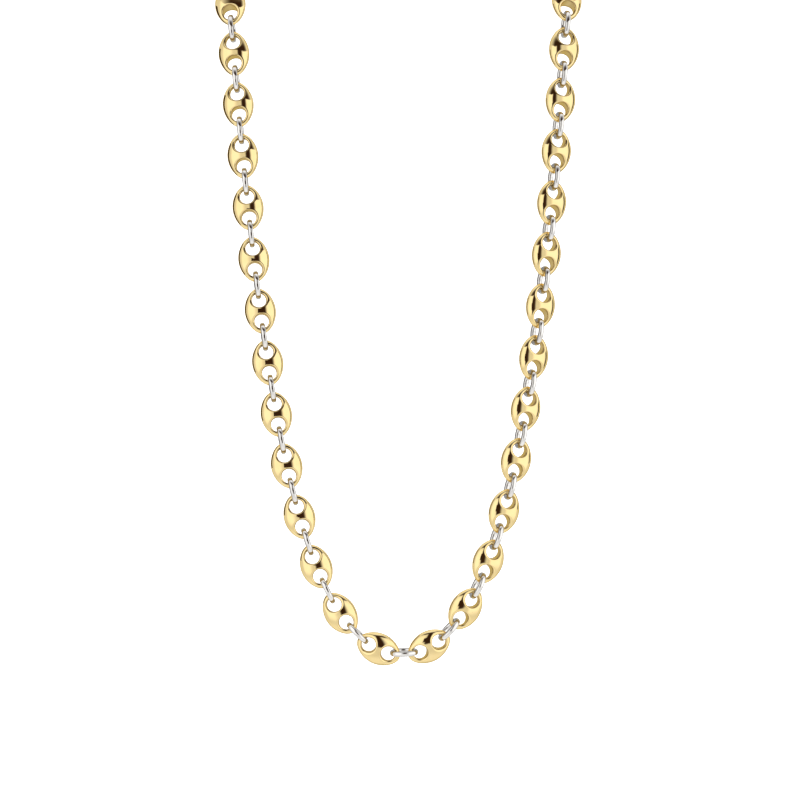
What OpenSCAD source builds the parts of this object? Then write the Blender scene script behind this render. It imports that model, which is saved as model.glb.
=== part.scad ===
// Coffee bean chain: a whole necklace of puffed oval links with two round eyes each.
// Small oval wire connectors join the beans, and a plain clasp closes the loop at the nape.
// The chain hangs as worn. +Z is up, -Y is the side that faces a viewer, and the origin is
// where the clasp rests on the nape.

/* [Bean] */
// Length of a bean from tip to tip
bean_l = 10.2; // [9.9:0.1:10.5]
// Width of a bean
bean_w = 7; // [6.8:0.1:7.2]
// Thickness of a bean at the bar between its eyes
bean_t = 3.7; // [3.5:0.1:3.8]
// How much slimmer than an ellipse a bean gets towards its tips
bean_taper = 0.12; // [0.1:0.01:0.18]
// Diameter of an eye
eye_d = 3.36; // [3.3:0.02:3.4]
// Distance from the middle of a bean to the middle of an eye
eye_off = 2.35; // [2.3:0.01:2.36]
// Width of an eye's rounded lip at the bar between the eyes
bar_lip_w = 0.35; // [0.3:0.05:0.4]
// Depth of an eye's rounded lip at the bar
bar_lip_h = 0.5; // [0.4:0.05:0.6]
// Width of an eye's rounded lip at the bean's tip
tip_lip_w = 0.5; // [0.45:0.05:0.55]
// Depth of an eye's rounded lip at the bean's tip
tip_lip_h = 0.8; // [0.75:0.05:0.9]

/* [Connector] */
// Diameter of the wire
wire_d = 1.18; // [1.1:0.02:1.2]
// Width inside a connector
loop_w = 3; // [3:0.02:3.06]
// Play between a connector and the wall of the eye that it hangs in
play = 0.2; // [0.2:0.01:0.24]

/* [Chain] */
// Distance from one bean to the next, along the chain
pitch = 11.72; // [11.6:0.01:11.8]
// Beans on each side of the clasp
beans_a_side = 18; // [18:1:18]
// Radius of the curve at its lowest point
sag_r = 11.5; // [11.4:0.1:11.6]
// Length of each strand from the lowest point to where it turns back round the neck
front_l = 157; // [156:0.5:158]
// How far the chain has slid along its curve, towards +X
slid = 0.52; // [0:0.01:1]
// How much closer the beans round the neck lie to each other, which eases their joints
neck_ease = 0.12; // [0.1:0.01:0.15]

/* [Clasp] */
// Thickness of the clasp's end plates
tab_t = 0.9; // [0.8:0.05:0.9]
// Width of metal round the hole of an end plate
tab_rim = 1; // [0.9:0.1:1.2]
// Play between a connector and the wall of the clasp's hole
clasp_play = 0.72; // [0.7:0.01:0.76]
// Diameter of the clasp's barrel
barrel_d = 4.4; // [4:0.1:4.8]
// How far the barrel's rounded ends stay from the holes
barrel_gap = 0.4; // [0.3:0.1:0.6]
// How deep the barrel's ends are rounded
barrel_round = 0.6; // [0.4:0.1:0.8]

/* [Hidden] */
half_w = bean_w/2;
half_l = bean_l/2;
half_t = bean_t/2;
eye_r = eye_d/2;
wire_r = wire_d/2;

// A connector is a racetrack of wire: two half rings and two straight legs.
// Its inner length spans the end walls of two eyes, with the play at both.
loop_l = pitch - 2*(eye_off + eye_r) + 2*play;
bend_r = loop_w/2 + wire_r;
leg_l = loop_l - loop_w;

// The strands hang as a catenary, whose slope is the way along it over sag_r.
// Past front_l the slope grows evenly, up to 180 degrees at the nape, and closes the loop.
front_slope = atan(front_l/sag_r);
front_x = sag_r*ln(front_l/sag_r + sqrt(pow(front_l/sag_r, 2) + 1));
back_l = front_x*(180 - front_slope)*PI/180/sin(front_slope);
half_loop = front_l + back_l;

// Way from the lowest point to the middle of bean i of a strand. Past the front strands the
// beans lie closer.
front_beans = 14;
function strand_way(i) = (i + 0.5)*pitch - neck_ease*max(0, i + 1 - front_beans);

// The clasp takes what the beans and their connectors leave of the loop. The holes of its
// end plates are as wide as an eye.
clasp_reach = half_loop - strand_way(beans_a_side - 1) - pitch/2 + neck_ease;
tab_off = clasp_reach - loop_l/2 + clasp_play - eye_r;
tab_r = eye_r + tab_rim;
barrel_l = 2*(tab_off - eye_r - barrel_gap);

// How far the loop's plane leans back from upright.
// Columns: way from the lowest point in mm, lean in degrees
LEAN = [
    [0, 3],
    [130, 3],
    [147, 7],
    [158, 16],
    [180, 34],
    [200, 50],
    [220, 62]];

// How far the beans' faces turn outwards about the chain's own line.
// Columns: way from the lowest point in mm, turn in degrees
TURN_RIGHT = [
    [0, 9],
    [10, 12],
    [29, 16],
    [50, 15],
    [76, 22],
    [110, 20],
    [123, 17],
    [147, 11],
    [158, 10],
    [175, 20],
    [195, 36],
    [220, 44]];
TURN_LEFT = [
    [0, 9],
    [10, 4],
    [29, -2],
    [100, -3],
    [123, 3],
    [147, 5],
    [158, 7],
    [175, 18],
    [195, 36],
    [220, 44]];

// Unit vectors of the chain at the way s along one strand, for a strand on the +X side
function slope(s) = s < front_l ? atan(s/sag_r)
    : front_slope + (180 - front_slope)*(s - front_l)/back_l;
function along(s) = let(a = slope(s), b = lookup(s, LEAN)) [cos(a), sin(a)*sin(b), sin(a)*cos(b)];
function forward(s) = let(b = lookup(s, LEAN)) [0, -cos(b), sin(b)];
function face(s, turn) = let(t = lookup(s, turn), n = forward(s))
    cos(t)*n + sin(t)*cross(along(s), n);

// Points of the +X strand's middle line, added up in short steps from the lowest point
step = 0.5;
LINE = [for (i = 0, p = [0, 0, 0]; i <= half_loop/step + 1;
    p = p + step*along((i + 0.5)*step), i = i + 1) p];
function line_at(s) = let(i = floor(s/step), t = s/step - i) LINE[i]*(1 - t) + LINE[i + 1]*t;
nape = line_at(half_loop) - barrel_d/2*face(half_loop, TURN_RIGHT);

// Place on the whole loop: way w from the lowest point, positive on the +X strand.
// Past the nape it runs on down the other strand.
function wrap(w) = w > half_loop ? w - 2*half_loop : w;
function side(w) = wrap(w) < 0 ? -1 : 1;
function on_side(v, w) = [side(w)*v[0], v[1], v[2]];
function spot(w) = on_side(line_at(abs(wrap(w))) - nape, w);
function aim(w) = side(w)*on_side(along(abs(wrap(w))), w);
function look(w) = on_side(face(abs(wrap(w)), side(w) < 0 ? TURN_LEFT : TURN_RIGHT), w);

// Middle of bean i, counted from the lowest connector up the +X strand, past the clasp and
// down the other strand
bean_count = 2*beans_a_side;
function bean_way(i) = slid + (i < beans_a_side ? strand_way(i)
    : 2*half_loop - strand_way(bean_count - 1 - i));
clasp_way = half_loop + slid;

// The middles of the two eyes that connector i hangs in, as [lower, upper].
// Connector i lies below bean i, and the clasp's own two come between the strands.
function eye_after(w, off) = spot(w) + off*aim(w);
function hooks(i) = i == beans_a_side
    ? [eye_after(bean_way(i - 1), eye_off), eye_after(clasp_way, -tab_off)]
    : i == beans_a_side + 1
    ? [eye_after(clasp_way, tab_off), eye_after(bean_way(i - 1), -eye_off)]
    : i < beans_a_side
    ? [eye_after(bean_way(i == 0 ? bean_count - 1 : i - 1), eye_off),
        eye_after(bean_way(i), -eye_off)]
    : [eye_after(bean_way(i - 2), eye_off), eye_after(bean_way(i - 1), -eye_off)];
link_count = bean_count + 1;

// Middle of connector i, for the way that its wire faces
function link_way(i) = i == 0 ? slid
    : i < beans_a_side ? (bean_way(i - 1) + bean_way(i))/2
    : i == beans_a_side ? (bean_way(i - 1) + clasp_way)/2
    : i == beans_a_side + 1 ? (clasp_way + bean_way(i - 1))/2
    : (bean_way(i - 2) + bean_way(i - 1))/2;

// Moves a piece whose length lies along Z and whose face looks along Y to a middle point
module put(middle, length_dir, face_dir) {
    z = length_dir/norm(length_dir);
    x = cross(face_dir, z)/norm(cross(face_dir, z));
    y = cross(z, x);
    multmatrix([
        [x[0], y[0], z[0], middle[0]],
        [x[1], y[1], z[1], middle[1]],
        [x[2], y[2], z[2], middle[2]],
        [0, 0, 0, 1]])
        children();
}

// Share of its full width and thickness that a bean has at the height z along it
function fullness(z) = let(u = z/half_l) sqrt(max(0, 1 - u*u))*(1 - bean_taper*u*u);

// Height of a bean's face above its middle plane
function puff(x, z) = let(f = fullness(z), s = f > 0 ? min(1, abs(x)/(half_w*f)) : 1)
    half_t*f*sqrt(1 - s*s);

// A bean's mesh: rings of points spread from each eye to the outline and to the middle line.
// Ring 0 is the top of the eye's wall, 1 the lip, 2 the face, 3 the outline or middle line.
around = 14;
mid_parts = 3;
rings = 3;
face_share = 0.58;
function fold(k) = min(k, around - k);
function edge_point(k) = let(m = fold(k), t = 90*(m - mid_parts)/(around/2 - mid_parts))
    m <= mid_parts ? [half_w*sin(90*m/mid_parts), 0]
    : [half_w*cos(t)*(1 - bean_taper*pow(sin(t), 2)), half_l*sin(t)];
function eye_turn(k) = 360*fold(k)/around;
function to_tip(k, at_bar, at_tip) = at_bar + (at_tip - at_bar)*(1 - cos(eye_turn(k)))/2;
function eye_point(k, r) = let(a = eye_turn(k)) [r*sin(a), eye_off - r*cos(a)];
function lip_point(k) = eye_point(k, eye_r + to_tip(k, bar_lip_w, tip_lip_w));
function ring_point(j, k) = j == 0 ? eye_point(k, eye_r) : j == 1 ? lip_point(k)
    : j == 2 ? lip_point(k)*(1 - face_share) + edge_point(k)*face_share
    : edge_point(k);
function ring_height(j, k) = let(p = ring_point(j, k))
    j == rings && fold(k) >= mid_parts ? 0
    : puff(p[0], p[1]) - (j == 0 ? to_tip(k, bar_lip_h, tip_lip_h) : 0);

// Points are numbered by face (front, back), end (upper, lower), ring and place round the eye.
// The outline belongs to the front, and the middle line to the upper end.
function number(f, e, j, k) = let(
    ff = j == rings && fold(k) >= mid_parts ? 0 : f,
    ee = j == rings && fold(k) <= mid_parts ? 0 : e)
    ((ff*2 + ee)*(rings + 1) + j)*around + k%around;
function flipped(q, yes) = yes ? [q[0], q[3], q[2], q[1]] : q;
function halves(q) = [[q[0], q[1], q[2]], [q[0], q[2], q[3]]];

module bean() {
    points = [for (f = [0, 1], e = [0, 1], j = [0:rings], k = [0:around - 1])
        let(p = ring_point(j, k), s = k > around/2 ? -1 : 1)
        [s*p[0], (1 - 2*f)*ring_height(j, k), (1 - 2*e)*p[1]]];
    face_quads = [for (f = [0, 1], e = [0, 1], j = [0:rings - 1], k = [0:around - 1])
        flipped([number(f, e, j, k), number(f, e, j, k + 1),
            number(f, e, j + 1, k + 1), number(f, e, j + 1, k)], f == e)];
    wall_quads = [for (e = [0, 1], k = [0:around - 1])
        flipped([number(1, e, 0, k), number(1, e, 0, k + 1),
            number(0, e, 0, k + 1), number(0, e, 0, k)], e == 0)];
    polyhedron(points = points,
        faces = [for (q = concat(face_quads, wall_quads), t = halves(q)) t], convexity = 6);
}

module bean_on_chain(i) {
    color("gold")
        put(spot(bean_way(i)), aim(bean_way(i)), look(bean_way(i)))
            bean();
}

// One half ring and one leg of a connector, made twice
module connector() {
    for (turn = [0, 180])
        rotate([turn, 0, 0]) {
            translate([0, 0, leg_l/2])
                rotate([90, 0, 90])
                    rotate_extrude(angle = 180, $fn = 48)
                        translate([bend_r, 0])
                            circle(r = wire_r, $fn = 24);
            translate([0, bend_r, -leg_l/2])
                cylinder(r = wire_r, h = leg_l, $fn = 24);
        }
}

// The connectors that lie on one side of the loop
module connectors(first, last) {
    color("silver")
        for (i = [first:last])
            let(h = hooks(i))
                put((h[0] + h[1])/2, h[1] - h[0], look(link_way(i)))
                    connector();
}

// A barrel with round ends, and a flat plate with a hole at each end
module clasp_body() {
    difference() {
        union() {
            rotate_extrude($fn = 64)
                intersection() {
                    translate([0, -barrel_l/2])
                        square([barrel_d/2, barrel_l]);
                    circle(r = norm([barrel_d/2, barrel_l/2]) - barrel_round, $fn = 96);
                }
            for (end = [-1, 1])
                translate([0, 0, end*tab_off])
                    rotate([90, 0, 0])
                        cylinder(r = tab_r, h = tab_t, center = true, $fn = 48);
        }
        for (end = [-1, 1])
            translate([0, 0, end*tab_off])
                rotate([90, 0, 0])
                    cylinder(r = eye_r, h = barrel_d, center = true, $fn = 48);
    }
}

module clasp() {
    color("silver")
        put(spot(clasp_way), aim(clasp_way), look(clasp_way))
            clasp_body();
}

function bean_name(i) = str("bean_", i < 9 ? "0" : "", i + 1);

for (i = [0:bean_count - 1])
    bean_on_chain(i);
connectors(0, beans_a_side);  // connectors_right
connectors(beans_a_side + 1, link_count - 1);  // connectors_left
clasp();
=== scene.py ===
"""Coffee bean chain: the polished look of a necklace of puffed oval beans and wire connectors.

The frame gives each bean, connector and clasp its place. The pieces made here are the same
shapes with smooth skins, in polished yellow gold and polished white metal.
"""

import math

import bpy
import numpy as np
from bpy.props import FloatProperty, FloatVectorProperty, IntProperty, PointerProperty
from bpy.types import Operator, Panel, PropertyGroup
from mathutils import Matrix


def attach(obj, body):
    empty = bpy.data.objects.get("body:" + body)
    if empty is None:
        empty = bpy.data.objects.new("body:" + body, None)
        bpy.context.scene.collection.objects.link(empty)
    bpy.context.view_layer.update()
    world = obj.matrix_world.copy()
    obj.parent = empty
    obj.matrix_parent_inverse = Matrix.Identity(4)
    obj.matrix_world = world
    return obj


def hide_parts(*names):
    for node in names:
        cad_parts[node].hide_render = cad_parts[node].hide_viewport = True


bl_info = {
    "name": "Coffee Bean Chain",
    "version": (1, 0, 0),
    "blender": (4, 5, 0),
    "location": "View3D > Sidebar > Bean Chain",
    "description": "Polished beans, wire connectors and clasp of a necklace, with its studio",
    "category": "Add Mesh",
}

MM = 0.001
QUARTER_TURN = math.pi / 2
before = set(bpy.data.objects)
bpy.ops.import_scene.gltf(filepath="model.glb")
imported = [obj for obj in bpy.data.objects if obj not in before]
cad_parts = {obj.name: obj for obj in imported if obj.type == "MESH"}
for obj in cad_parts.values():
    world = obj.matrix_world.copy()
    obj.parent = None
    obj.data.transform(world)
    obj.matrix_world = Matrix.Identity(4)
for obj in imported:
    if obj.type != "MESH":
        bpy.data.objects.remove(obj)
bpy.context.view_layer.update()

BEAN_NODES = sorted(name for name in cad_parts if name.startswith("bean_"))
CONNECTOR_NODES = ("connectors_right", "connectors_left")
CLASP_NODE = "clasp"


# Places read from the frame


def triangles_of(node):
    """All triangles of a node of the frame, as an array of triangle, corner and coordinate."""
    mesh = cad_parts[node].data
    mesh.calc_loop_triangles()
    corners = np.empty(len(mesh.loop_triangles) * 3, np.int32)
    mesh.loop_triangles.foreach_get("vertices", corners)
    points = np.empty(len(mesh.vertices) * 3)
    mesh.vertices.foreach_get("co", points)
    return points.reshape(-1, 3)[corners].reshape(-1, 3, 3)


def place_of(triangles):
    """Middle and own axes of a closed skin, with its size along them.

    The axes are the eigenvectors of the skin's spread: the sum, over all triangles, of the area
    times the outer products of each corner and of the three corners' sum. They are rows, from
    the longest to the thinnest, and form a right-handed set when read as thin, wide and long.
    The middle lies half way along the skin's reach on each of them.
    """
    side_a = triangles[:, 1] - triangles[:, 0]
    side_b = triangles[:, 2] - triangles[:, 0]
    area = np.linalg.norm(np.cross(side_a, side_b), axis=1) / 2
    middle = (area[:, None] * triangles.mean(1)).sum(0) / area.sum()
    corner = triangles - middle
    total = corner.sum(1)
    spread = np.einsum("t,tki,tkj->ij", area, corner, corner)
    spread += np.einsum("t,ti,tj->ij", area, total, total)
    long, wide = np.linalg.eigh(spread)[1].T[::-1][:2]
    axes = np.stack([long, wide, np.cross(wide, long)])
    reach = corner.reshape(-1, 3) @ axes.T
    low, high = reach.min(0), reach.max(0)
    return middle + (low + high) / 2 @ axes, axes, high - low


def put(points, middle, x_axis, y_axis, z_axis):
    """Carries points from a piece's own axes to its place: middle + x*x_axis + y*y_axis + z*z_axis."""
    return middle + points @ np.stack([x_axis, y_axis, z_axis])


PLACES = {name: place_of(triangles_of(name)) for name in (*BEAN_NODES, CLASP_NODE)}
BEAN_SIZE = PLACES[BEAN_NODES[0]][2]
CLASP_SIZE = PLACES[CLASP_NODE][2]


# Meshes from arrays

# Points that agree to this decimal place of a metre are welded
WELD_DECIMALS = 9


def whole_turn(count):
    """Angles of count even steps round a whole turn, from zero on."""
    return 2 * math.pi * np.arange(count) / count


def bell(distance, width):
    """A bell curve: exp(-(distance / width)^2)."""
    return np.exp(-((distance / width) ** 2))


def oval(count, power):
    """Points round the oval |x|^power + |y|^power = 1, as their x and their y."""
    turn = whole_turn(count)
    return (np.sign(v) * np.abs(v) ** (2 / power) for v in (np.cos(turn), np.sin(turn)))


def grid_points(x, y, z):
    """Stretches x, y and z over one grid, and lists its points row by row."""
    return np.stack(np.broadcast_arrays(x, y, z), -1).reshape(-1, 3)


def grid_quads(rows, columns, closed=True):
    """Quads of a grid of points numbered row by row. The last column joins the first if closed."""
    row = np.arange(rows - 1)[:, None]
    column = np.arange(columns if closed else columns - 1)[None, :]
    after = (column + 1) % columns
    corners = [row * columns + column, row * columns + after]
    corners += [(row + 1) * columns + after, (row + 1) * columns + column]
    return np.stack(corners, -1).reshape(-1, 4)


def ring_quads(rows, columns):
    """Quads of a grid whose last row joins its first, as its last column does."""
    return grid_quads(rows + 1, columns) % (rows * columns)


def weld(points, quads):
    """Joins points at the same place. Returns them, the quads, and which of the old points stay."""
    # Adding zero makes a negative zero a plain one
    rounded = np.round(points, WELD_DECIMALS) + 0.0
    _, kept, number = np.unique(rounded, axis=0, return_index=True, return_inverse=True)
    return points[kept], number.reshape(-1)[quads], kept


def outward(points, quads):
    """Turns the faces outwards, so that the volumes that they span with the origin add up above zero."""
    a, b, c, d = (points[quads[:, k]] for k in range(4))
    volume = np.einsum("ij,ij->", a, np.cross(b, c) + np.cross(c, d))
    return quads if volume > 0 else quads[:, ::-1]


def joined(shells):
    """Several shells as one. Each is its points, its quads and the share of painted shade and of joint
    dullness at each point.
    """
    points, quads, painted_shades_and_dulls = zip(*shells)
    starts = np.cumsum([0, *(len(part) for part in points[:-1])])
    numbered = [part + start for part, start in zip(quads, starts)]
    return np.concatenate(points), np.concatenate(numbered), np.concatenate(painted_shades_and_dulls)


def mesh_object(name, points, quads, painted_shade_and_dull=None):
    """Makes a smooth mesh object at the origin, and keeps as a point attribute the share of painted shade
    and of joint dullness at each point.

    A quad with two equal corners becomes a triangle.
    """
    repeated = [quads[:, k] == quads[:, (k + 1) % 4] for k in range(4)]
    whole = quads[~np.any(repeated, axis=0)]
    thin = [np.delete(quads[mask], (k + 1) % 4, axis=1) for k, mask in enumerate(repeated)]
    mesh = bpy.data.meshes.new(name)
    mesh.from_pydata(points.tolist(), [], whole.tolist() + np.concatenate(thin).tolist())
    mesh.shade_smooth()
    if painted_shade_and_dull is not None:
        values = mesh.attributes.new("painted_shade_and_dull", "FLOAT", "POINT").data
        values.foreach_set("value", painted_shade_and_dull.astype(np.float32))
    mesh.validate()
    piece = bpy.data.objects.new(name, mesh)
    bpy.context.scene.collection.objects.link(piece)
    return piece


def finish_piece(piece, nodes, material):
    """Gives a piece its material and slot, hides the nodes that it stands for, and lets it ride."""
    piece.data.materials.clear()
    piece.data.materials.append(material)
    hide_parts(*nodes)
    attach(piece, "root")


# Materials

WHITE = (1, 1, 1, 1)

# Polished metal is uneven by soft lumps. A step gives the noise's values where it starts and ends
LUMP_SIZE = 2.2 * MM
LUMP_STEP = (0.35, 0.7)
LUMP_HEIGHT = 0.02 * MM
LUMP_STRENGTH = 0.35

# Polishing leaves long thin marks of two directions. They change the roughness by these factors
MARK_SIZE = 1.4 * MM
MARK_STRETCH = (1, 14, 1)
MARK_TURNS = (0.5, -1.0)
MARK_TILT = 0.6
MARK_STEP = (0.12, 0.5)
MARK_HEIGHT = 0.002 * MM
MARK_STRENGTH = 0.12
MARK_ROUGH = (0.75, 1.6)

# Specks break up the painted shade and the dull tone of joints. The last number here is added to the
# roughness there
SPECK_SIZE = 0.25 * MM
SPECK_STEP = (0.2, 0.8)
SPECK_SHARE = (0.45, 0.95)
SHADE_AND_DULL_ROUGH = 0.16


class Nodes:
    """Short calls that add and link shader nodes in one tree."""

    def __init__(self, tree):
        self.tree = tree
        tree.nodes.clear()

    def add(self, kind, values=None, **settings):
        """Adds a node. Values are numbers, colours or other nodes' outputs, by input name or number."""
        node = self.tree.nodes.new(kind)
        for key, value in settings.items():
            setattr(node, key, value)
        for key, value in (values or {}).items():
            socket = node.inputs[key]
            if isinstance(value, bpy.types.NodeSocket):
                self.tree.links.new(value, socket)
            else:
                socket.default_value = value
        return node

    def coordinates(self, kind="Object"):
        """The place on a piece in metres, or another kind of texture coordinates."""
        return self.add("ShaderNodeTexCoord").outputs[kind]

    def split(self, vector):
        """The three parts of a vector."""
        return self.add("ShaderNodeSeparateXYZ", {0: vector}).outputs

    def maths(self, operation, a, b=0.0, c=0.0):
        """One maths step on up to three values."""
        return self.add("ShaderNodeMath", {0: a, 1: b, 2: c}, operation=operation).outputs[0]

    def product(self, first, *others):
        """Several values multiplied, one after the other."""
        for other in others:
            first = self.maths("MULTIPLY", first, other)
        return first

    def ramp(self, value, low, high, start=0.0, end=1.0):
        """A soft step: start below low, end above high, smooth between them."""
        node = self.add(
            "ShaderNodeMapRange",
            {"Value": value, "From Min": low, "From Max": high, "To Min": start, "To Max": end},
            interpolation_type="SMOOTHSTEP",
        )
        return node.outputs["Result"]

    def fade(self, value, low, high):
        """A soft step down, from one below low to zero above high."""
        return self.ramp(value, low, high, 1, 0)

    def mix(self, share, a, b):
        """A colour between a and b."""
        return self.add("ShaderNodeMix", {0: share, 6: a, 7: b}, data_type="RGBA").outputs[2]

    def mix_shaders(self, share, a, b):
        """A shader between those of two nodes."""
        values = {0: share, 1: a.outputs[0], 2: b.outputs[0]}
        return self.add("ShaderNodeMixShader", values).outputs[0]

    def noise(self, vector, size, detail=2.0):
        """Noise whose lumps are about size metres wide."""
        values = {"Vector": vector, "Scale": 1 / size, "Detail": detail, "Roughness": 0.5}
        return self.add("ShaderNodeTexNoise", values).outputs["Fac"]

    def surface(self, shader, kind="ShaderNodeOutputMaterial"):
        """Links a shader to the output of the tree."""
        self.add(kind, {"Surface": shader})


def new_material(name):
    """A material with an empty tree, and the calls that fill it."""
    material = bpy.data.materials.new(name)
    material.use_nodes = True
    return material, Nodes(material.node_tree)


def polished_metal(name, tone, deep_tone, shade_and_dull_tone, rough, edge_tone=(1, 1, 1)):
    """Mirror-polished metal with a faint unevenness of tone, fine polishing marks, painted shade and dull
    joints.

    Lumps of about 2 mm move the colour between tone and deep_tone. Long thin marks of two
    directions vary the roughness. A point attribute gives the share of painted shade, in the eyes,
    the grooves and on the wires' flanks, and of the dull tone of a joint: there the colour takes
    that share of the darker tone, broken up by specks, and the roughness that share of the extra
    roughness.
    """
    material, nodes = new_material(name)
    material.diffuse_color = (*tone, 1)
    place = nodes.coordinates()
    lumps = nodes.noise(place, LUMP_SIZE)
    specks = nodes.noise(place, SPECK_SIZE, detail=3)
    marks = []
    for turn in MARK_TURNS:
        stretched = nodes.add(
            "ShaderNodeMapping",
            {"Vector": place, "Rotation": (turn, turn * MARK_TILT, turn), "Scale": MARK_STRETCH},
        )
        marks.append(nodes.noise(stretched.outputs[0], MARK_SIZE, detail=4))
    marked = nodes.product(*marks)
    # Painted shade in the eyes, the grooves and on the wires' flanks, and the dull tone of joints: a
    # darker colour and more roughness where the point attribute says
    painted_shade_and_dull = nodes.add("ShaderNodeAttribute", attribute_name="painted_shade_and_dull").outputs["Fac"]
    shaded_and_dulled = nodes.product(painted_shade_and_dull, nodes.ramp(specks, *SPECK_STEP, *SPECK_SHARE))
    colour = nodes.mix(nodes.ramp(lumps, *LUMP_STEP), (*tone, 1), (*deep_tone, 1))
    colour = nodes.mix(shaded_and_dulled, colour, (*shade_and_dull_tone, 1))
    gloss = nodes.ramp(marked, *MARK_STEP, *(rough * factor for factor in MARK_ROUGH))
    gloss = nodes.maths("ADD", gloss, nodes.product(painted_shade_and_dull, SHADE_AND_DULL_ROUGH))
    uneven = nodes.add(
        "ShaderNodeBump", {"Strength": LUMP_STRENGTH, "Distance": LUMP_HEIGHT, "Height": lumps}
    )
    grain = nodes.add(
        "ShaderNodeBump",
        {
            "Strength": MARK_STRENGTH,
            "Distance": MARK_HEIGHT,
            "Height": marked,
            "Normal": uneven.outputs[0],
        },
    )
    metal = nodes.add(
        "ShaderNodeBsdfPrincipled",
        {
            "Base Color": colour,
            "Metallic": 1.0,
            "Roughness": gloss,
            "Specular Tint": (*edge_tone, 1),
            "Normal": grain.outputs[0],
        },
    )
    nodes.surface(metal.outputs[0])
    return material


def white_metal():
    """The wire's and the clasp's material, made once."""
    name = "polished_white_metal"
    made = bpy.data.materials.get(name)
    if made:
        return made
    look = bpy.context.scene.bean_chain_metal
    return polished_metal(
        name, look.white_tone, look.white_deep_tone, look.white_shade_and_dull_tone, look.white_rough
    )


# Settings


def length(name, description, default):
    """A length in metres."""
    return FloatProperty(
        name=name,
        description=description,
        default=default,
        min=0,
        max=10,
        subtype="DISTANCE",
        unit="LENGTH",
        precision=5,
    )


def position(name, description, default):
    """A place along one axis, in metres."""
    return FloatProperty(name=name, description=description, default=default, unit="LENGTH")


def edges(name, description, default):
    """The places of two edges along one axis, in metres."""
    return FloatVectorProperty(
        name=name, description=description, default=default, size=2, unit="LENGTH"
    )


def bearing(name, description, default):
    """A turn from the camera's side in degrees, positive to the right."""
    return FloatProperty(name=name, description=description, default=default)


def amount(name, description, default, low=0, high=1):
    """A plain number."""
    return FloatProperty(name=name, description=description, default=default, min=low, max=high)


def number_of(name, description, default, low, high):
    """A whole number of points, rows or steps."""
    return IntProperty(name=name, description=description, default=default, min=low, max=high)


def tone(name, description, default):
    """A colour."""
    return FloatVectorProperty(
        name=name, description=description, default=default, size=3, min=0, max=4, subtype="COLOR"
    )


class BeanSettings(PropertyGroup):
    """Sizes of a bean. Its length, width and thickness come from the frame."""

    long: length("Length", "From tip to tip", BEAN_SIZE[0])
    wide: length("Width", "Across both lobes", BEAN_SIZE[1])
    thick: length("Thickness", "At the bar between the eyes", BEAN_SIZE[2])
    taper: amount("Taper", "How much slimmer than an ellipse it gets towards its tips", 0.12, high=0.3)
    eye: length("Eye", "Diameter of an eye", 3.2 * MM)
    eye_offset: length("Eye offset", "From the bean's middle to an eye's middle", 2.35 * MM)
    bar_lip_width: length("Bar lip width", "Width of an eye's rounded lip at the bar", 0.3 * MM)
    bar_lip_depth: length("Bar lip depth", "Depth of an eye's rounded lip at the bar", 0.1 * MM)
    tip_lip_width: length("Tip lip width", "Width of an eye's rounded lip at the tip", 0.8 * MM)
    tip_lip_depth: length("Tip lip depth", "Depth of an eye's rounded lip at the tip", 0.42 * MM)
    edge: length("Edge", "Radius of the small round between an eye's wall and its lip", 0.15 * MM)
    around: number_of("Around", "Points round an eye, a multiple of 14", 70, 28, 140)
    face_rows: number_of("Face rows", "Rows from a lip to the outline", 13, 4, 40)
    edge_rows: number_of("Edge rows", "Rows round the edge", 3, 1, 8)
    lip_rows: number_of("Lip rows", "Rows over an eye's lip", 6, 2, 12)
    wall_rows: number_of("Wall rows", "Rows down half of an eye's wall", 2, 1, 8)


class ConnectorSettings(PropertyGroup):
    """Sizes of a wire connector. Its length and width come from the frame."""

    wire: length("Wire", "Diameter of the wire", 1.18 * MM)
    flatness: amount("Flatness", "2 for a round wire, more for one with flatter sides", 2.6, 2, 4)
    joint_swell: amount(
        "Joint swell", "How much thicker the wire is at its soldered joint", 0.03, high=0.1
    )
    joint_length: length("Joint length", "Length of the soldered joint", 0.35 * MM)
    # Share of painted shade on the wire's flanks, towards the ring's two faces
    flank_shade: amount("Dull flanks", "How dull the wire is at the ring's two faces", 0.9)
    end_bend: length("End bend", "Radius of the wire's middle line at the ring's ends", 1.9 * MM)
    bend_steps: number_of("Bend steps", "Steps round each end", 24, 8, 64)
    leg_steps: number_of("Leg steps", "Steps along each side", 12, 2, 40)
    around: number_of("Around", "Points round the wire", 24, 8, 48)


class ClaspSettings(PropertyGroup):
    """Sizes of the clasp. Its whole length comes from the frame."""

    barrel: length("Barrel", "Diameter of the barrel", 4.4 * MM)
    plate: length("Plate", "Thickness of an end plate", 0.9 * MM)
    hole: length("Hole", "Diameter of an end plate's hole", 3.36 * MM)
    rim: length("Rim", "Width of metal round the hole", 1.0 * MM)
    gap: length("Gap", "From the barrel's end to the hole", 0.4 * MM)
    groove: length("Groove", "Depth of the turned grooves", 0.16 * MM)


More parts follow.
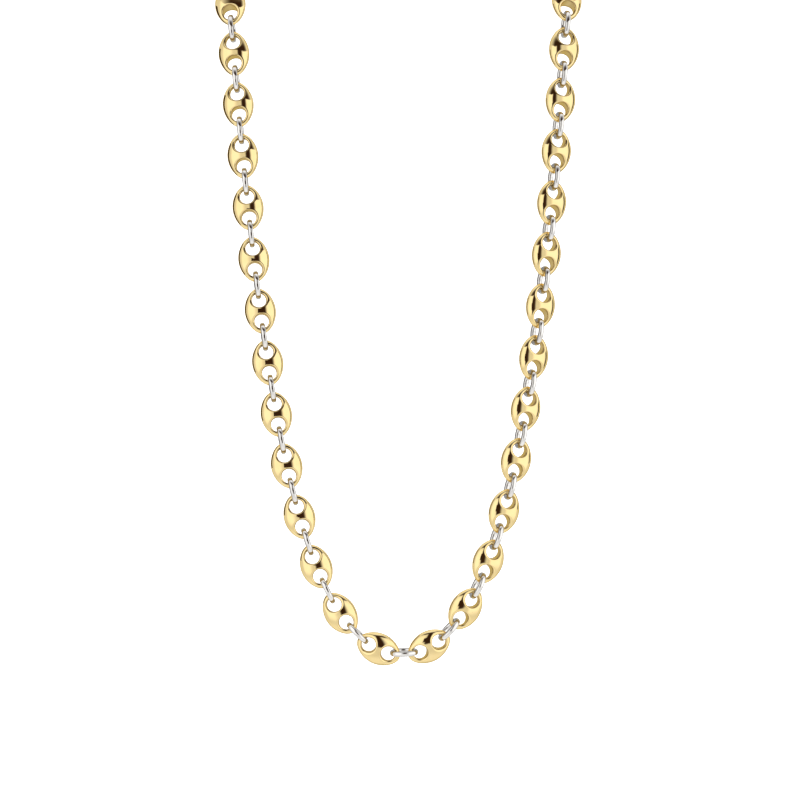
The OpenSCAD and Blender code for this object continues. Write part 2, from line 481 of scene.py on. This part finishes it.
class MetalSettings(PropertyGroup):
    """Tones and gloss of the two metals."""

    gold_tone: tone("Gold", "Polished yellow gold", (0.93, 0.735, 0.37))
    gold_deep_tone: tone("Deep gold", "Gold where the skin is a shade darker", (0.90, 0.70, 0.335))
    # The darker gold of the painted shade in the eyes: full on their edges, 0.6 of it at the start of the
    # lip and 0.3 on their walls
    gold_painted_shade_tone: tone(
        "Gold in the eyes", "Gold on the eyes' edges, and a third of it on their walls", (0.50, 0.33, 0.12)
    )
    gold_edge_tone: tone(
        "Gold at a low angle", "Tint of gold seen almost along its skin", (1.0, 0.82, 0.42)
    )
    gold_rough: amount("Gold roughness", "Roughness of polished gold", 0.04)
    white_tone: tone("White metal", "Polished white metal", (0.87, 0.85, 0.82))
    white_deep_tone: tone(
        "Deep white metal", "White metal where it is a shade darker", (0.79, 0.765, 0.735)
    )
    # The darker tone of the painted shade in the clasp's grooves and on the wires' flanks, and of the dull
    # joints
    white_shade_and_dull_tone: tone(
        "Dull white metal", "White metal in grooves, joints and the wires' flanks", (0.13, 0.115, 0.10)
    )
    white_rough: amount("White metal roughness", "Roughness of polished white metal", 0.025)


class StudioSettings(PropertyGroup):
    """The camera, the white room with its two lamps, the floor, and the black cloth and cards."""

    camera_place: FloatVectorProperty(
        name="Camera",
        description="Where the camera stands",
        default=(-0.01385, -0.634, -0.1257),
        size=3,
        subtype="XYZ",
        unit="LENGTH",
    )
    camera_turn: FloatVectorProperty(
        name="Camera turn",
        description="The camera's rotation",
        default=(QUARTER_TURN + 0.00907, 0.0032, -0.02259),
        size=3,
        subtype="EULER",
        unit="ROTATION",
    )
    lens: amount("Lens", "Focal length in millimetres", 121.88, 10, 500)
    room_light: amount("Room light", "Brightness of the white room", 0.84, high=4)
    lamp_left: amount("Left lamp", "Light that the left lamp adds", 0.4, high=4)
    lamp_right: amount("Right lamp", "Light that the right lamp adds", 0.43, high=4)
    back_dark: amount("Dark back", "Share of light missing behind the chain", 0.3)
    cloth_radius: length("Cloth radius", "Radius of the black cloth's cylinder", 0.16)
    cloth_middle: position("Cloth middle", "How far back the cylinder's axis stands", -0.031)
    cloth_bottom: position("Cloth bottom", "Height of the upper cloth's lower edge", 0.034)
    cloth_tone: tone("Cloth tone", "Light that the black cloth gives back", (0.038, 0.018, 0.011))
    slit_left: bearing("Slit left", "Turn of the camera slit's left edge, in degrees", -6.5)
    slit_right: bearing("Slit right", "Turn of its right edge, in degrees", 16.5)
    slit_bottom: position("Slit bottom", "Height of its lower end", -0.178)
    body_place: position("Camera body", "How far back its card stands, in front below zero", -0.268)
    body_sides: edges("Body sides", "Its left and right edge", (-0.06, 0.025))
    body_heights: edges("Body heights", "Its lower and upper edge", (-0.135, -0.045))
    flag_off: position("Flags", "How far to each side the black flags stand", 0.115)
    left_flag: edges("Left flag", "Its front and back edge", (-0.024, 0.030))
    right_flag: edges("Right flag", "Its front and back edge", (-0.020, 0.000))
    flag_heights: edges("Flag heights", "Their lower and upper edge", (-0.150, -0.012))
    floor_height: position("Floor", "Height of the floor", -0.75)
    floor_light: amount(
        "Floor light", "Own light of the floor and backdrop, twice as strong to the camera", 0.3, high=4
    )


# Beans

# Turn round an eye, from the bean's bar towards its tip, at which the outline takes over
CORNER_TURN = math.pi * 3 / 7

# Least width that a share is taken of, so that nothing is divided by zero
TINY = 1e-12

# How fast an eye's lip changes from its size at the bar to its size at the tip
LIP_POWER = 4

# Shares of painted shade on the eye's wall, its edge and the start of its lip
WALL_SHADE = 0.3
EDGE_SHADE = 1.0
LIP_SHADE = 0.6


def fullness(z, half_long, taper):
    """Share of its full width and thickness that a bean has at z: an ellipse, slimmer to the tips.

    With u as z over half_long it is sqrt(1 - u^2) (1 - taper u^2).
    """
    u = z / half_long
    return np.sqrt(np.maximum(0, 1 - u * u)) * (1 - taper * u * u)


def puff(x, z, s):
    """Height of a bean's face at x and z: half an ellipse across, as full as fullness says.

    It is half of the thickness there times sqrt(1 - share^2), with share as x over half of the
    width there.
    """
    full = fullness(z, s.long / 2, s.taper)
    share = np.minimum(1, np.abs(x) / np.maximum(s.wide / 2 * full, TINY))
    return s.thick / 2 * full * np.sqrt(1 - share * share)


def outline(turn, s):
    """Where a ray from an eye ends: on the bean's middle line up to the corner, then on its outline.

    On the middle line x is a sine of the turn. On the outline t runs from 0 to a quarter turn,
    z is half the length times sin t, and x is half the width times cos t (1 - taper sin^2 t).
    Returns x, z and whether it is the outline.
    """
    along_bar = turn <= CORNER_TURN
    t = (turn - CORNER_TURN) / (math.pi - CORNER_TURN) * QUARTER_TURN
    x = np.where(
        along_bar,
        s.wide / 2 * np.sin(QUARTER_TURN * turn / CORNER_TURN),
        s.wide / 2 * np.cos(t) * (1 - s.taper * np.sin(t) ** 2),
    )
    return x, np.where(along_bar, 0, s.long / 2 * np.sin(t)), ~along_bar


def bean_quarter(s):
    """A quarter of a bean's skin, upper end and front, as rows round one eye.

    Two parameters: the turn round the eye, and the way from the middle of the eye's wall up,
    round its edge, over its lip and out to the outline. The lip grows from its size at the bar
    to its size at the tip with 1 - ((1 + cos turn) / 2)^LIP_POWER. At a distance d from the wall it
    lies lip_depth (1 - d/lip_width)^2 below the face, and the edge's quarter round of radius
    edge lies below that. The outer rows close up as a sine, so that the skin is round where it
    turns over the outline.
    """
    turn = whole_turn(s.around)
    fold = np.minimum(turn, 2 * math.pi - turn)
    side = np.where(turn > math.pi, -1, 1)
    to_tip = 1 - ((1 + np.cos(fold)) / 2) ** LIP_POWER
    lip_width = s.bar_lip_width + (s.tip_lip_width - s.bar_lip_width) * to_tip
    lip_depth = s.bar_lip_depth + (s.tip_lip_depth - s.bar_lip_depth) * to_tip

    edge_turn = QUARTER_TURN * np.linspace(0, 1, s.edge_rows + 1)[:-1, None]
    edge_out = np.broadcast_to(s.edge * (1 - np.cos(edge_turn)), (s.edge_rows, s.around))
    lip_out = s.edge + (lip_width - s.edge) * np.linspace(0, 1, s.lip_rows + 1)[:, None]
    off_wall = np.concatenate([edge_out, lip_out])
    rolled = np.concatenate([edge_turn, np.full((s.lip_rows + 1, 1), QUARTER_TURN)])
    edge_drop = s.edge * (1 - np.sin(rolled))
    lip_x = (s.eye / 2 + off_wall) * np.sin(fold)
    lip_z = s.eye_offset - (s.eye / 2 + off_wall) * np.cos(fold)
    lip_y = puff(lip_x, lip_z, s) - edge_drop - lip_depth * np.maximum(0, 1 - off_wall / lip_width) ** 2

    wall_share = np.linspace(0, 1, s.wall_rows + 1)[:-1, None]
    wall_x, wall_z = (np.broadcast_to(v, (s.wall_rows, s.around)) for v in (lip_x[0], lip_z[0]))

    end_x, end_z, on_rim = outline(fold, s)
    way = np.sin(QUARTER_TURN * np.linspace(0, 1, s.face_rows + 1)[1:, None])
    face_x = lip_x[-1] * (1 - way) + end_x * way
    face_z = lip_z[-1] * (1 - way) + end_z * way
    face_y = puff(face_x, face_z, s)
    face_y[-1] = np.where(on_rim, 0, face_y[-1])

    x = np.concatenate([wall_x, lip_x, face_x]) * side
    y = np.concatenate([lip_y[0] * wall_share, lip_y, face_y])
    z = np.concatenate([wall_z, lip_z, face_z])
    row_counts = (s.wall_rows, s.edge_rows, 1, s.lip_rows + s.face_rows)
    # Painted shade in the eye: on its wall, its edge and the start of its lip
    painted_shade_and_dull = np.repeat((WALL_SHADE, EDGE_SHADE, LIP_SHADE, 0), row_counts)
    return grid_points(x, y, z), grid_quads(*x.shape), np.repeat(painted_shade_and_dull, s.around)


def bean_skin(s):
    """A whole bean: its quarter mirrored to the back and to the lower end, and welded."""
    points, quads, painted_shade_and_dull = bean_quarter(s)
    quarters = []
    for front, upper in ((1, 1), (-1, 1), (1, -1), (-1, -1)):
        turned = quads if front == upper else quads[:, ::-1]
        quarters.append((points * (1, front, upper), turned, painted_shade_and_dull))
    points, quads, painted_shade_and_dull = joined(quarters)
    points, quads, kept = weld(points, quads)
    return points, outward(points, quads), painted_shade_and_dull[kept]


class BEANCHAIN_OT_beans(Operator):
    """Makes every bean as a smooth puffed oval with two eyes, at its place in the frame"""

    bl_idname = "bean_chain.beans"
    bl_label = "Make Beans"

    def execute(self, context):
        look = context.scene.bean_chain_metal
        gold = polished_metal(
            "polished_yellow_gold",
            look.gold_tone,
            look.gold_deep_tone,
            look.gold_painted_shade_tone,
            look.gold_rough,
            look.gold_edge_tone,
        )
        points, quads, painted_shade_and_dull = bean_skin(context.scene.bean_chain_bean)
        for node in BEAN_NODES:
            middle, (long, wide, thin), _ = PLACES[node]
            placed = put(points, middle, wide, -thin, long)
            piece = mesh_object("polished_" + node, placed, quads, painted_shade_and_dull)
            finish_piece(piece, [node], gold)
        return {"FINISHED"}


# Connectors

# How dull the wire is in the middle of its joint, and how late the painted shade on its flanks begins
JOINT_DULL = 0.25
FLANK_POWER = 4


def eyes_of(node, offset):
    """The middles of the two holes of a bean or of the clasp, offset from its middle along its length."""
    middle, (long, _, _), _ = PLACES[node]
    return np.stack([middle + offset * long, middle - offset * long])


def clasp_hole_offset(s):
    """From the clasp's middle to the middle of either hole."""
    return CLASP_SIZE[0] / 2 - s.rim - s.hole / 2


def connector_middles(context):
    """Rough middles of the connectors: between the nearest holes of neighbours along the loop."""
    bean_offset = context.scene.bean_chain_bean.eye_offset
    clasp_offset = clasp_hole_offset(context.scene.bean_chain_clasp)
    half = len(BEAN_NODES) // 2
    loop = [*BEAN_NODES[:half], CLASP_NODE, *BEAN_NODES[half:]]
    eyes = [eyes_of(node, clasp_offset if node == CLASP_NODE else bean_offset) for node in loop]
    middles = []
    for here, there in zip(eyes, eyes[1:] + eyes[:1]):
        pairs = [(a, b) for a in here for b in there]
        nearest = min(pairs, key=lambda pair: np.linalg.norm(pair[0] - pair[1]))
        middles.append(np.mean(nearest, axis=0))
    return np.array(middles)


def ring_line(s, half_long, half_wide):
    """The middle line of an oval ring and the directions straight out of it, each as a y and a z.

    It is four arcs that meet without a kink: two ends of radius end_bend about (0, +-up) and
    two sides of radius back + half_wide about (-+back, 0), where up is half_long - end_bend and
    back is (up^2 - (half_wide - end_bend)^2) / (2 (half_wide - end_bend)). They meet at the turn
    atan(up/back). The second half of the line is the first half turned round.
    """
    up = half_long - s.end_bend
    back = (up**2 - (half_wide - s.end_bend) ** 2) / (2 * (half_wide - s.end_bend))
    meet = math.atan2(up, back)
    side = np.linspace(-meet, meet, s.leg_steps, endpoint=False)
    end = np.linspace(meet, math.pi - meet, s.bend_steps, endpoint=False)
    turn = np.concatenate([side, end])
    arcs = [[back + half_wide, s.end_bend], [-back, 0], [0, up]]
    radius, from_y, from_z = np.repeat(arcs, (s.leg_steps, s.bend_steps), axis=1)
    out = np.stack([np.cos(turn), np.sin(turn)])
    line = np.stack([from_y, from_z]) + radius * out
    return (np.concatenate([half, -half], axis=1) for half in (line, out))


def connector_skin(s, long, wide):
    """An oval ring of wire, as long and as wide as given, soldered in the middle of one side.

    Two parameters: the way along the wire's middle line and the turn round the wire. The wire's
    section is the oval |x|^flatness + |y|^flatness = radius^flatness. The wire swells by
    joint_swell at its joint, as a bell curve of the way from it, and is dull there by
    JOINT_DULL times that curve's square. Towards the ring's two faces shade is painted on its
    flanks, by flank_shade times |x| over the radius to the power of FLANK_POWER.
    """
    (line_y, line_z), (out_y, out_z) = ring_line(s, (long - s.wire) / 2, (wide - s.wire) / 2)
    joint = (bell(line_z, s.joint_length) * (line_y > 0))[:, None]
    radius = s.wire / 2 * (1 + s.joint_swell * joint)
    off, across = oval(s.around, s.flatness)
    y = line_y[:, None] + radius * off * out_y[:, None]
    z = line_z[:, None] + radius * off * out_z[:, None]
    points = grid_points(radius * across, y, z)
    quads = ring_quads(len(line_y), s.around)
    # Painted shade on the flanks, and the dull tone of the joint
    dull = np.maximum(JOINT_DULL * joint**2, s.flank_shade * across**FLANK_POWER)
    return points, outward(points, quads), dull.reshape(-1)


class BEANCHAIN_OT_connectors(Operator):
    """Makes the wire connectors of each side of the loop as one piece, at their places in the frame"""

    bl_idname = "bean_chain.connectors"
    bl_label = "Make Connectors"

    def execute(self, context):
        s = context.scene.bean_chain_connector
        middles = connector_middles(context)
        for node in CONNECTOR_NODES:
            # Each triangle belongs to the ring whose rough middle is nearest
            triangles = triangles_of(node)
            far = np.linalg.norm(triangles.mean(1)[:, None] - middles, axis=2)
            nearest = far.argmin(1)
            rings = []
            for number in np.unique(nearest):
                middle, (long, wide, thin), size = place_of(triangles[nearest == number])
                ring, quads, dull = connector_skin(s, size[0], size[1])
                rings.append((put(ring, middle, thin, wide, long), quads, dull))
            piece = mesh_object("polished_" + node, *joined(rings))
            finish_piece(piece, [node], white_metal())
        return {"FINISHED"}


# Clasp

# Shares of half the barrel's length: how far it keeps its full radius, and where a groove is
BARREL_FULL = 0.72
GROOVE_PLACE = 0.66

# Widths of the grooves and of the middle seam, and the seam's depth as a share of a groove's
GROOVE_WIDTH = 0.13 * MM
SEAM_WIDTH = 0.1 * MM
SEAM_DEPTH = 0.6

# Share of painted shade in a groove at its deepest
GROOVE_SHADE = 0.8

# Powers of the barrel's closing curve and of the oval section of an end plate
BARREL_POWER = 4
PLATE_POWER = 4

# This much of the clasp's end is plate alone
PLATE_END = 2 * MM


def barrel_skin(s, half_long, around=72, rows=97):
    """The clasp's barrel: a circle carried along its length.

    Its radius keeps full over the middle, and dips in narrow bell curves at the seam and at two
    turned grooves. Where it closes, the radius and the way on to the end, each as a share of its
    whole, follow radius^BARREL_POWER + way^BARREL_POWER = 1.
    """
    z = half_long * np.sin(np.linspace(-QUARTER_TURN, QUARTER_TURN, rows))
    close = np.clip((np.abs(z) - half_long * BARREL_FULL) / (half_long * (1 - BARREL_FULL)), 0, 1)
    dips = sum(bell(z - end * half_long * GROOVE_PLACE, GROOVE_WIDTH) for end in (-1, 1))
    dips = dips + SEAM_DEPTH * bell(z, SEAM_WIDTH)
    radius = s.barrel / 2 * (1 - close**BARREL_POWER) ** (1 / BARREL_POWER)
    radius = np.maximum(0, radius - s.groove * dips)
    radius[[0, -1]] = 0
    turn = whole_turn(around)
    points = grid_points(radius[:, None] * np.cos(turn), radius[:, None] * np.sin(turn), z[:, None])
    points, quads, kept = weld(points, grid_quads(rows, around))
    # Painted shade in the grooves and the seam, deepest where they dip most
    return points, outward(points, quads), np.repeat(GROOVE_SHADE * np.clip(dips, 0, 1), around)[kept]


def plate_skin(s, offset, around=56, section=24):
    """An end plate with rounded edges: a rounded bar of metal carried round its hole.

    The bar's middle runs (hole + rim) / 2 from the hole's middle. Its section is an oval of the
    power PLATE_POWER, as wide as the rim and as thick as the plate.
    """
    turn = whole_turn(around)[:, None]
    across, up = oval(section, PLATE_POWER)
    radius = s.hole / 2 + s.rim / 2 + across * s.rim / 2
    points = grid_points(radius * np.cos(turn), up * s.plate / 2, offset + radius * np.sin(turn))
    quads = ring_quads(around, section)
    return points, outward(points - (0, 0, offset), quads), np.zeros(len(points))


def clasp_axes():
    """The clasp's own axes: its plates' width, their normal and its length.

    The barrel is round, so only the plates' own triangles tell the width. It is the direction
    across the length in which the corners of one end's triangles spread most.
    """
    middle, (long, _, _), _ = PLACES[CLASP_NODE]
    triangles = triangles_of(CLASP_NODE)
    beyond = (triangles.mean(1) - middle) @ long > CLASP_SIZE[0] / 2 - PLATE_END
    corners = triangles[beyond].reshape(-1, 3)
    flat = corners - corners.mean(0)
    flat = flat - np.outer(flat @ long, long)
    width = np.linalg.eigh(flat.T @ flat)[1][:, 2]
    return width, np.cross(long, width), long


class BEANCHAIN_OT_clasp(Operator):
    """Makes the clasp: a turned barrel with a seam, two grooves and two holed end plates"""

    bl_idname = "bean_chain.clasp"
    bl_label = "Make Clasp"

    def execute(self, context):
        s = context.scene.bean_chain_clasp
        offset = clasp_hole_offset(s)
        shells = [barrel_skin(s, offset - s.hole / 2 - s.gap)]
        shells += [plate_skin(s, end * offset) for end in (-1, 1)]
        points, quads, painted_shade_and_dull = joined(shells)
        placed = put(points, PLACES[CLASP_NODE][0], *clasp_axes())
        piece = mesh_object("polished_clasp", placed, quads, painted_shade_and_dull)
        finish_piece(piece, [CLASP_NODE], white_metal())
        return {"FINISHED"}


# Studio

# Each lamp's middle, and how far from there it is still full and already gone, in degrees of turn
LEFT_LAMP = (-41, 13, 33)
RIGHT_LAMP = (60, 22, 36)

# Heights in degrees over which the lamps come in and go out, and the light above and below them
LAMP_FOOT = (-36, -12)
LAMP_HEAD = (34, 56)
TOP_HEIGHTS = (42, 62)
TOP_LIGHT = 0.2
LOW_HEIGHTS = (-54, -28)
LOW_LIGHT = 0.17

# The dark behind the chain: turns where it comes in, and heights where it goes out, in degrees
BACK_TURNS = (112, 140)
BACK_HEIGHTS = (30, 60)

# Light of the backdrop that only the camera sees
BACKDROP_LIGHT = 1.05

# The cloth's cylinder: its turns in degrees, its top, and how far it hangs below the slit
CURTAIN_TURNS = (-97, 106)
CURTAIN_TOP = 0.43
CURTAIN_HANG = 0.05

# Soft edges, as where they start and end from their place: two in degrees, then three in metres
SLIT_LEFT_SOFT = (-4, 4)
SLIT_RIGHT_SOFT = (-5, 9)
SLIT_FOOT_SOFT = (-0.01, 0.01)
SLIT_HEAD_SOFT = (0.03, 0.05)
HEM_SOFT = (-0.004, 0.008)

# Over HEM_TURNS the upper cloth's hem lifts to the left. The cloth thins out upwards and sideways
HEM_TURNS = (-48, -14)
HEM_LIFT = 0.016
CLOTH_HEIGHTS = (0.08, 0.42)
CLOTH_LEFT = (-96, -22)
CLOTH_RIGHT = (42, 104)

# The cards' paint and the floor's paper: size of their lumps, and what the lumps change
PAINT_LUMP = 0.02
PAINT_STEP = (0.3, 0.7)
PAINT_LIGHT = (0.9, 1.1)
PAPER_LUMP = 0.3
PAPER_TONES = ((0.90, 0.90, 0.90, 1), (0.92, 0.92, 0.92, 1))
PAPER_ROUGH = 0.9

# The camera's sensor in millimetres, and the nearest and farthest that it sees in metres
SENSOR_WIDTH = 36
CLIP = (0.01, 20)


def sweep_skin(height, half_wide=2.2, front=-1.6, back=1.4, top=1.8, bend=0.5, steps=24):
    """Floor and backdrop in one sheet: a straight floor, a quarter round of radius bend and a back."""
    turn = np.linspace(0, QUARTER_TURN, steps)
    y = np.concatenate([[front], back - bend + bend * np.sin(turn), [back]])
    z = np.concatenate([[0], bend * (1 - np.cos(turn)), [top - height]]) + height
    x = np.array([-half_wide, half_wide])
    return grid_points(x, y[:, None], z[:, None]), grid_quads(len(y), 2, closed=False)


def white_paper(s):
    """The floor's paper: faintly uneven, with some light of its own, and twice that to the camera."""
    paper, nodes = new_material("white_paper")
    cloud = nodes.noise(nodes.coordinates(), PAPER_LUMP)
    seen = nodes.add("ShaderNodeLightPath").outputs["Is Camera Ray"]
    sheet = nodes.add(
        "ShaderNodeBsdfPrincipled",
        {
            "Base Color": nodes.mix(cloud, *PAPER_TONES),
            "Roughness": PAPER_ROUGH,
            "Emission Color": WHITE,
            "Emission Strength": nodes.maths("MULTIPLY_ADD", seen, s.floor_light, s.floor_light),
        },
    )
    nodes.surface(sheet.outputs[0])
    return paper


def degrees(nodes, angle):
    """An angle in degrees, from one in radians."""
    return nodes.product(angle, 180 / math.pi)


def turn_of(nodes, x, y):
    """Turn of a direction from the camera's side, in degrees, positive to the right."""
    return degrees(nodes, nodes.maths("ARCTAN2", x, nodes.product(y, -1.0)))


def white_room(s):
    """The light all round: an even white, with one broad soft lamp at each side of the camera.

    Directions are read as a turn from the camera's side, positive to the right, and as a
    height. Each lamp fades out over a smooth step of the turn from its middle, and at its foot
    and head. It is a little lighter above and below the lamps, and darker behind the chain.
    The camera itself sees an even white backdrop.
    """
    world = bpy.data.worlds.new("white_room")
    world.use_nodes = True
    nodes = Nodes(world.node_tree)
    x, y, z = nodes.split(nodes.coordinates("Generated"))
    turn = turn_of(nodes, x, y)
    height = degrees(nodes, nodes.maths("ARCSINE", z))
    lamps = []
    for (middle, full, gone), strength in ((LEFT_LAMP, s.lamp_left), (RIGHT_LAMP, s.lamp_right)):
        off = nodes.maths("ABSOLUTE", nodes.maths("SUBTRACT", turn, middle))
        lamps.append(nodes.product(nodes.fade(off, full, gone), strength))
    at_lamps = (nodes.ramp(height, *LAMP_FOOT), nodes.fade(height, *LAMP_HEAD))
    lamp = nodes.product(nodes.maths("MAXIMUM", *lamps), *at_lamps)
    top = nodes.product(nodes.ramp(height, *TOP_HEIGHTS), TOP_LIGHT)
    low = nodes.product(nodes.fade(height, *LOW_HEIGHTS), LOW_LIGHT)
    light = nodes.maths("ADD", nodes.maths("ADD", lamp, nodes.maths("ADD", top, low)), s.room_light)
    at_back = nodes.ramp(nodes.maths("ABSOLUTE", turn), *BACK_TURNS, 0, s.back_dark)
    behind = nodes.product(at_back, nodes.fade(height, *BACK_HEIGHTS))
    light = nodes.product(light, nodes.maths("SUBTRACT", 1.0, behind))
    studio = nodes.add("ShaderNodeBackground", {"Color": WHITE, "Strength": light})
    backdrop = nodes.add("ShaderNodeBackground", {"Color": WHITE, "Strength": BACKDROP_LIGHT})
    seen = nodes.add("ShaderNodeLightPath").outputs["Is Camera Ray"]
    nodes.surface(nodes.mix_shaders(seen, studio, backdrop), "ShaderNodeOutputWorld")
    return world


def curtain_skin(s, columns=97):
    """A black cloth that hangs as part of an upright cylinder, in front of the chain and beside it.

    At each turn x is cloth_radius sin turn, and y is cloth_middle - cloth_radius cos turn.
    """
    turn = np.radians(np.linspace(*CURTAIN_TURNS, columns))
    x = s.cloth_radius * np.sin(turn)
    y = s.cloth_middle - s.cloth_radius * np.cos(turn)
    z = np.array([s.slit_bottom - CURTAIN_HANG, CURTAIN_TOP])[:, None]
    return grid_points(x, y, z), grid_quads(2, columns, closed=False)


def card_skin(corners, heights):
    """An upright black card between two corners on the ground plan, from its lower to its upper edge."""
    points = np.array([(x, y, z) for z in heights for x, y in corners])
    return points, grid_quads(2, 2, closed=False)


def edge_at(place, soft):
    """Where a soft edge at a place starts and ends."""
    return place + soft[0], place + soft[1]


def black_glow(nodes, s, strength):
    """The faint light that the black cloth and cards give back."""
    return nodes.add("ShaderNodeEmission", {"Color": (*s.cloth_tone, 1), "Strength": strength})


def curtain_cloth(s):
    """Black where the camera's slit and the upper cloth are, with soft edges, and clear elsewhere.

    The slit is a dark band of the turn round the cylinder. The upper cloth starts at
    cloth_bottom and thins out upwards and to both sides.
    """
    cloth, nodes = new_material("black_cloth")
    x, y, z = nodes.split(nodes.coordinates())
    turn = turn_of(nodes, x, nodes.maths("SUBTRACT", y, s.cloth_middle))
    slit = nodes.product(
        nodes.ramp(turn, *edge_at(s.slit_left, SLIT_LEFT_SOFT)),
        nodes.fade(turn, *edge_at(s.slit_right, SLIT_RIGHT_SOFT)),
        nodes.ramp(z, *edge_at(s.slit_bottom, SLIT_FOOT_SOFT)),
        nodes.fade(z, *edge_at(s.cloth_bottom, SLIT_HEAD_SOFT)),
    )
    hem = nodes.maths("SUBTRACT", z, nodes.ramp(turn, *HEM_TURNS, HEM_LIFT, 0))
    upper = nodes.product(
        nodes.ramp(hem, *edge_at(s.cloth_bottom, HEM_SOFT)),
        nodes.fade(z, *CLOTH_HEIGHTS),
        nodes.ramp(turn, *CLOTH_LEFT),
        nodes.fade(turn, *CLOTH_RIGHT),
    )
    clear = nodes.add("ShaderNodeBsdfTransparent")
    share = nodes.maths("MAXIMUM", slit, upper)
    nodes.surface(nodes.mix_shaders(share, clear, black_glow(nodes, s, 1.0)))
    return cloth


def black_paint(s):
    """The cards' paint: as dark as the cloth, a little uneven."""
    paint, nodes = new_material("black_paint")
    lumps = nodes.noise(nodes.coordinates(), PAINT_LUMP)
    glow = black_glow(nodes, s, nodes.ramp(lumps, *PAINT_STEP, *PAINT_LIGHT))
    nodes.surface(glow.outputs[0])
    return paint


def stage_piece(name, skin, material, unseen_by):
    """Makes a piece of the studio that the named kinds of rays don't see."""
    piece = mesh_object(name, *skin)
    piece.data.materials.append(material)
    for rays in unseen_by:
        setattr(piece, "visible_" + rays, False)


def studio_camera(s):
    """The camera, with its lens, at its place."""
    lens = bpy.data.cameras.new("camera")
    lens.sensor_width = SENSOR_WIDTH
    lens.lens = s.lens
    lens.clip_start, lens.clip_end = CLIP
    camera = bpy.data.objects.new("camera", lens)
    camera.location = s.camera_place
    camera.rotation_euler = s.camera_turn
    return camera


class BEANCHAIN_OT_studio(Operator):
    """Makes the white room with its lamps, the floor, the black cloth and cards, and the camera"""

    bl_idname = "bean_chain.studio"
    bl_label = "Make Studio"

    def execute(self, context):
        s = context.scene.bean_chain_studio
        stage_piece("pale_floor", sweep_skin(s.floor_height), white_paper(s), ("glossy",))
        stage_piece("black_curtain", curtain_skin(s), curtain_cloth(s), ("camera", "diffuse"))
        paint = black_paint(s)
        cards = {
            "camera_body": ([(x, s.body_place) for x in s.body_sides], s.body_heights),
            "left_flag": ([(-s.flag_off, y) for y in s.left_flag], s.flag_heights),
            "right_flag": ([(s.flag_off, y) for y in s.right_flag], s.flag_heights),
        }
        for name, (corners, heights) in cards.items():
            stage_piece(name, card_skin(corners, heights), paint, ("camera", "diffuse"))
        context.scene.world = white_room(s)
        camera = studio_camera(s)
        context.scene.collection.objects.link(camera)
        context.scene.camera = camera
        context.scene.view_settings.view_transform = "Standard"
        return {"FINISHED"}


# Sidebar and registration


class BEANCHAIN_PT_panel(Panel):
    """Lists the settings and the buttons of the chain"""

    bl_label = "Coffee Bean Chain"
    bl_idname = "BEANCHAIN_PT_panel"
    bl_space_type = "VIEW_3D"
    bl_region_type = "UI"
    bl_category = "Bean Chain"

    def draw(self, context):
        for group, button in GROUPS:
            box = self.layout.box()
            settings = getattr(context.scene, group)
            for key in settings.bl_rna.properties.keys():
                if key not in ("rna_type", "name"):
                    box.prop(settings, key)
            if button:
                box.operator(button)


GROUPS = (
    ("bean_chain_metal", None),
    ("bean_chain_bean", "bean_chain.beans"),
    ("bean_chain_connector", "bean_chain.connectors"),
    ("bean_chain_clasp", "bean_chain.clasp"),
    ("bean_chain_studio", "bean_chain.studio"),
)
SETTINGS = (MetalSettings, BeanSettings, ConnectorSettings, ClaspSettings, StudioSettings)
CLASSES = (
    *SETTINGS,
    BEANCHAIN_OT_beans,
    BEANCHAIN_OT_connectors,
    BEANCHAIN_OT_clasp,
    BEANCHAIN_OT_studio,
    BEANCHAIN_PT_panel,
)


def register():
    """Adds the classes, and a group of settings of each kind to the scene."""
    for item in CLASSES:
        bpy.utils.register_class(item)
    for (name, _), kind in zip(GROUPS, SETTINGS):
        setattr(bpy.types.Scene, name, PointerProperty(type=kind))


def unregister():
    """Takes the settings and the classes away again."""
    for name, _ in GROUPS:
        delattr(bpy.types.Scene, name)
    for item in reversed(CLASSES):
        bpy.utils.unregister_class(item)


def main():
    """Builds everything."""
    register()
    bpy.ops.bean_chain.beans()
    bpy.ops.bean_chain.connectors()
    bpy.ops.bean_chain.clasp()
    bpy.ops.bean_chain.studio()


if __name__ == "__main__":
    main()
